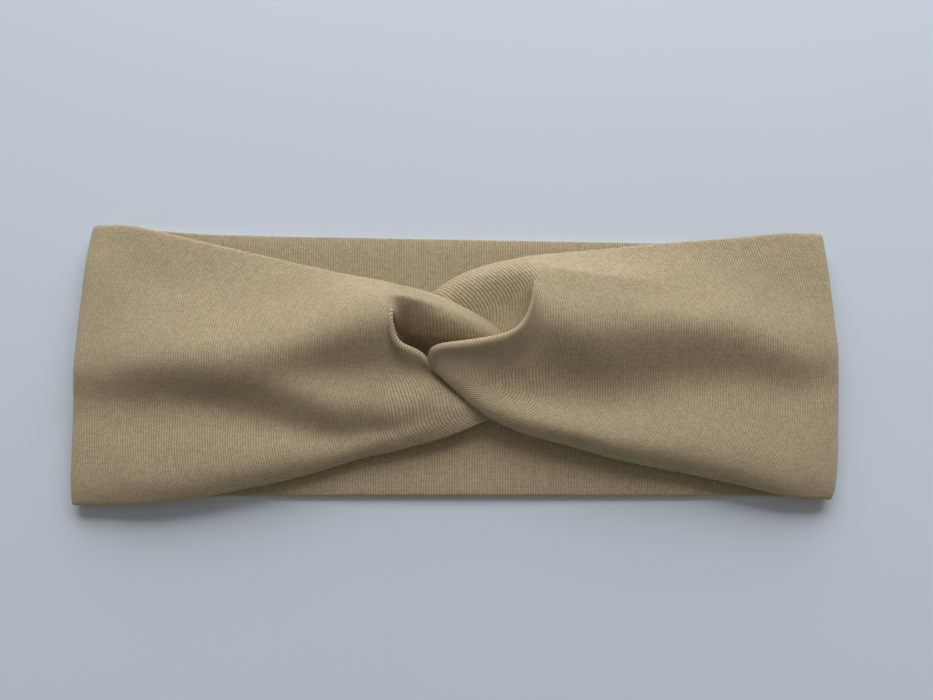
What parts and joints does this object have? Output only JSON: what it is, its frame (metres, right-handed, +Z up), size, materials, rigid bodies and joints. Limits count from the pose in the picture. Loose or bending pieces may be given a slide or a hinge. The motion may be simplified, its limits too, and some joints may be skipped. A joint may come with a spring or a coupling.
{
  "type": "twist headband",
  "caption": "Stretch jersey loop that holds hair back from the face, two cloth layers thick, with its ends twisted through each other in a soft knot at the front.",
  "frame": {"origin": "under the middle of the headband, on the underside of the back band, which lies on the table", "axes": "+X along the band from the left fold to the right fold, +Y across the band, +Z up through the knot"},
  "size_m": [0.242, 0.0908, 0.0209],
  "materials": {
    "jersey": "matt beige cotton and elastane single jersey",
    "thread": "beige spun polyester sewing thread"
  },
  "bodies": {
    "root": {"back_band": "jersey", "left_fold": "jersey", "right_fold": "jersey", "left_wing": "jersey", "right_wing": "jersey", "left_upper_strap": "jersey", "right_upper_strap": "jersey", "left_lower_strap": "jersey", "right_lower_strap": "jersey", "closing_seam_allowance": "jersey", "closing_seam_stitches": "thread", "tube_seam_stitches": "thread"}
  },
  "joints": []
}
